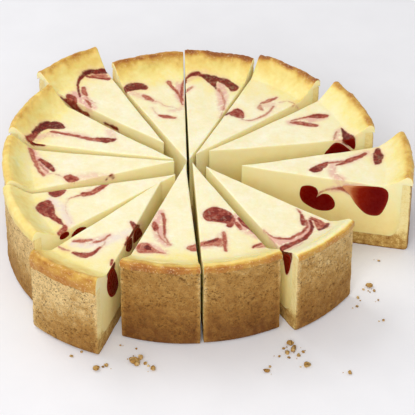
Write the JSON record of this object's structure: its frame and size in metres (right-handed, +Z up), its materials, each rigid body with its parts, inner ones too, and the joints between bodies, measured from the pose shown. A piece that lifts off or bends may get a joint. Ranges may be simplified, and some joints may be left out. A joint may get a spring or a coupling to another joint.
{
  "type": "baked cheesecake",
  "caption": "Round baked cheesecake cut into wedge portions, with a shortcrust base and wall, a pale filling with a browned rim, and fruit sauce marbled through it.",
  "frame": {"origin": "middle of the cake's box, on the surface that the cake stands on", "axes": "+Z up, +X towards the portion that is drawn out of the ring, -Y towards the side that faces the camera"},
  "size_m": [0.2694, 0.2488, 0.0637],
  "materials": {
    "shortcrust": "dry, crumbly shortcrust",
    "baked_filling": "smooth baked curd, satin",
    "fruit_sauce": "glossy dark red fruit sauce"
  },
  "bodies": {
    "root": {"crust_01": "shortcrust", "crust_02": "shortcrust", "crust_03": "shortcrust", "crust_04": "shortcrust", "crust_05": "shortcrust", "crust_06": "shortcrust", "crust_07": "shortcrust", "crust_08": "shortcrust", "crust_09": "shortcrust", "crust_10": "shortcrust", "crust_11": "shortcrust", "crust_12": "shortcrust", "crust_13": "shortcrust", "filling_01": "baked_filling", "filling_02": "baked_filling", "filling_03": "baked_filling", "filling_04": "baked_filling", "filling_05": "baked_filling", "filling_06": "baked_filling", "filling_07": "baked_filling", "filling_08": "baked_filling", "filling_09": "baked_filling", "filling_10": "baked_filling", "filling_11": "baked_filling", "filling_12": "baked_filling", "filling_13": "baked_filling", "sauce_01_drop": "fruit_sauce", "sauce_01_heart": "fruit_sauce", "sauce_02_high": "fruit_sauce", "sauce_02_low": "fruit_sauce", "sauce_09_lens": "fruit_sauce", "sauce_09_small": "fruit_sauce", "sauce_10_middle": "fruit_sauce", "sauce_10_oval": "fruit_sauce", "sauce_10_upper": "fruit_sauce", "sauce_13_strip": "fruit_sauce"}
  },
  "joints": []
}
